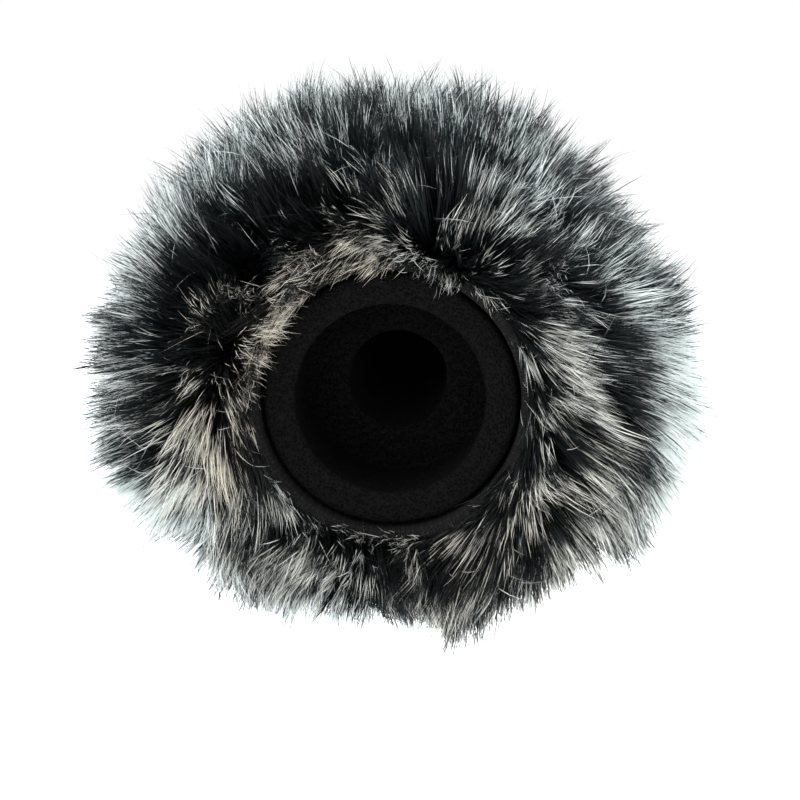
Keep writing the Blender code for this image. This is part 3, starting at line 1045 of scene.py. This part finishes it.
class Pile:
    """Tufts of locks, which the hairs follow: each level leans towards the one above it.

    What is drawn is how far they differ in place (metres), length (share) and tone (0 to 1).
    """

    def __init__(self, tufts, locks, seed):
        draw = np.random.default_rng(seed)
        at, angle = scatter(tufts, seed + 1)
        home, _, tuft_middles, tuft_tips = strands(at, angle)
        tuft_tips = tuft_tips + draw.normal(0.0, 0.0028, (tufts, 3))
        tuft_length = fullness(home, angle) * draw.uniform(0.93, 1.04, tufts)
        tuft_tone = tip_tone_and_painted_light(tuft_tips) + draw.normal(0.0, 0.16, tufts)
        at, angle = scatter(locks, seed + 2)
        self.home, _, self.middles, self.tips = strands(at, angle)
        tuft = nearest(self.home, home)
        pull = (draw.uniform(0.25, 0.70, locks) * hold(at))[:, None]
        self.tips += (tuft_tips[tuft] - self.tips) * pull + draw.normal(0.0, 0.0020, (locks, 3))
        self.middles += (tuft_middles[tuft] - self.middles) * pull * 0.4
        self.length = tuft_length[tuft] * draw.uniform(0.80, 1.04, locks)
        self.tone = tuft_tone[tuft] + draw.normal(0.0, 0.32, locks)


def grow(pile, count, seed, length, tone_shift, clump, wander=0.0):
    """Hairs as three control places each, and what they look like.

    length and clump are lowest and highest shares: of a lock's length, and of the way to its lock.
    Hairs that wander end somewhere else on the outline, about that far away.
    """
    draw = np.random.default_rng(seed)
    at, angle = scatter(count, seed)
    home, roots, middles, tips = strands(at, angle)
    lock = nearest(home, pile.home)
    pull = (draw.uniform(*clump, count) * hold(at))[:, None]
    tips += (pile.tips[lock] - tips) * pull + draw.normal(0.0, 0.0007, (count, 3))
    middles += (pile.middles[lock] - middles) * pull * 0.5 + draw.normal(0.0, 0.0013, (count, 3))
    stray = draw.random(count) < 0.04
    tips[stray] += draw.normal(0.0, 0.0022, (int(stray.sum()), 3))
    if wander > 0.0:
        end = np.clip(at + draw.normal(0.0, wander, count), 0.0, TIPS_AT[-1])
        tips = tip_places(end, angle + draw.normal(0.0, wander, count) / CREST_RADIUS)
    share = (pile.length[lock] * draw.uniform(*length, count))[:, None]
    tone = pile.tone[lock] + draw.normal(0.0, 0.09, count) + tone_shift
    warm = warmth(at, angle) + draw.normal(0.0, 0.15, count)
    nose_roots = BACKING_AT[-1] - (BACKING_IN + BACKING_THICK) * NOSE_SEAM
    return {
        "roots": roots,
        "middles": roots + (middles - roots) * share,
        "tips": roots + (tips - roots) * share,
        "tone": np.clip(tone, 0.0, 1.0),
        "warm": np.clip(warm, 0.0, 1.0),
        "angle": angle,
        "on_nose": np.interp(at, REACH_TIPS, REACH_ROOTS) > nose_roots,
        "twist": draw.uniform(0.0, math.tau, count),
        "width": draw.uniform(0.75, 1.25, count),
    }


def ribbon_points(hairs, pick, share, width):
    """Flat tapered ribbons: a pair of points at each share of a hair's length, and one at its tip."""
    roots, middles, tips = (hairs[key][pick][:, None] for key in ("roots", "middles", "tips"))
    share = share[None, :, None]
    spine = roots * (1 - share) ** 2 + middles * 2 * share * (1 - share) + tips * share**2
    ahead = tips - roots
    side, other = square_to(ahead / np.linalg.norm(ahead, axis=-1, keepdims=True))
    twist = hairs["twist"][pick][:, None, None]
    flat = side * np.cos(twist) + other * np.sin(twist)
    taper = np.interp(share, [0.0, 0.3, 0.7, 1.0], [0.85, 1.0, 0.82, 0.10]) * width
    half = flat * taper * hairs["width"][pick][:, None, None] / 2
    pairs = np.stack([spine - half, spine + half], axis=2)[:, :-1]
    return np.concatenate([pairs.reshape(len(pick), -1, 3), spine[:, -1:]], axis=1)


def ribbon_faces(count, segments):
    """Four-sided faces along each ribbon and a three-sided one at its tip."""
    base = (np.arange(count) * (2 * segments + 1))[:, None]
    level = base + 2 * np.arange(segments - 1)
    quads = np.stack([level, level + 1, level + 3, level + 2], axis=-1)
    last = base + 2 * (segments - 1)
    return quads.reshape(-1, 4), np.concatenate([last, last + 1, last + 2], axis=1)


def map_hairs(mesh, hairs, pick, share, corners):
    """The hair map: each hair's column of tone and warmth, and how far along the hair a point is."""
    tone = np.floor(hairs["tone"][pick] * (TONES - 1) + 0.5)
    warm = np.floor(hairs["warm"][pick] * (WARMTHS - 1) + 0.5)
    columns = TONES * WARMTHS
    middle = ((tone * WARMTHS + warm + 0.5) / columns)[:, None]
    across = np.append(np.tile([-0.3, 0.3], len(share) - 1), 0.0) / columns
    u = middle + across
    v = np.append(np.repeat(share[:-1], 2), 1.0) * 0.96 + 0.02
    where = np.stack([u, np.broadcast_to(v, u.shape)], axis=-1).reshape(-1, 2)
    layer = mesh.uv_layers.new(name="OFBake")
    layer.uv.foreach_set("vector", where[corners].astype(np.float32).ravel())


def hair_mesh(name, hairs, pick, segments, width):
    """Ribbons along the chosen hairs, with shorter segments towards their tips."""
    share = (np.arange(segments + 1) / segments) ** 0.85
    points = ribbon_points(hairs, pick, share, width)
    quads, triangles = ribbon_faces(len(pick), segments)
    mesh = fast_mesh(name, points.reshape(-1, 3), quads, triangles)
    map_hairs(mesh, hairs, pick, share, np.concatenate([quads.ravel(), triangles.ravel()]))
    return mesh


# ---- fur: pieces
MOST_TRIANGLES = 190000  # in one piece


def gore_of(hairs):
    """Which gore each hair is rooted on, 0 to 3, or 4 on the nose panel."""
    past = np.stack([(hairs["angle"] - seam) % math.tau for seam in SEAMS], axis=1)
    return np.where(hairs["on_nose"], 4, np.argmin(past, axis=1))


def grow_coats():
    """Each coat's hairs, how many segments each has, and how wide it is."""
    pile = Pile(tufts=1500, locks=30000, seed=5)
    underfur = grow(pile, 60000, seed=31, length=(0.50, 0.82), tone_shift=-0.30, clump=(0.2, 0.5))
    guard = grow(pile, 165000, seed=32, length=(0.88, 1.03), tone_shift=0.0, clump=(0.35, 0.88))
    flyaway = grow(pile, 1500, seed=33, length=(1.00, 1.08), tone_shift=0.42, clump=(0.1, 0.6), wander=0.01)
    return {
        "underfur": (underfur, 3, 0.00028),
        "guard": (guard, 5, 0.00025),
        "flyaway": (flyaway, 8, 0.00018),
    }


def add_pile():
    """All the fur, in pieces that ride on the cover. Returns the pieces by panel."""
    look = pile_material()
    pieces = {panel: [] for panel in PANELS}
    for coat, (hairs, segments, width) in grow_coats().items():
        owner = gore_of(hairs)
        most = MOST_TRIANGLES // (2 * segments - 1)
        for number, panel in enumerate(pieces):
            mine = np.flatnonzero(owner == number)
            parts = max(1, math.ceil(len(mine) / most))
            for part in range(parts):
                name = f"pile_{panel}_{coat}_{part + 1}"
                mesh = hair_mesh(name, hairs, mine[part::parts], segments, width)
                piece = add_piece(mesh, look, COVER, PANELS[panel])
                pieces[panel].append(piece)
    return pieces


def add_backings(pieces):
    """The knitted base of each panel, which its pile grows from."""
    dark = (0.004, 0.006, 0.007)
    light = (0.020, 0.026, 0.029)
    knit = knit_material("pile_backing", dark, light, BACKING_IN, 0.0012)
    thickness = BACKING_THICK - 0.0002
    spacing = 0.0013
    half_gap = 1.3  # between the gores and the nose panel, in degrees of the dome
    rim = RIM_IN + BACKING_THICK / 2
    body = BACKING_IN + BACKING_THICK / 2
    slit = 0.0008 / body  # half the way between two gores, as an angle
    side = [(rim, RIM_REAR + 0.0003), (rim, RIM_STEP), (body, RIM_STEP + 0.0012)]
    line = even(side + dome_arc(body, 90.0, NOSE_SEAM_DEGREES + half_gap), spacing)
    for gore, first, last in zip(PANELS, SEAMS, SEAMS[1:] + [SEAMS[0] + math.tau]):
        turn = (last - first) % math.tau
        width = turn * body
        columns = round(width / spacing)
        mesh = patch_mesh(f"backing_{gore}", line, first + slit, first + turn - slit, columns)
        panel = sew(mesh, knit, thickness, PANELS[gore])

    line = even(dome_arc(body, NOSE_SEAM_DEGREES - half_gap, 0.0), spacing)
    mesh = turned_mesh("backing_nose", line, 150)
    panel = sew(mesh, knit, thickness, PANELS["nose"])


add_camera()
add_studio()
add_foam()
add_lining()
add_tapes()
add_cuff()
add_elastic()
add_threads()
add_backings(add_pile())
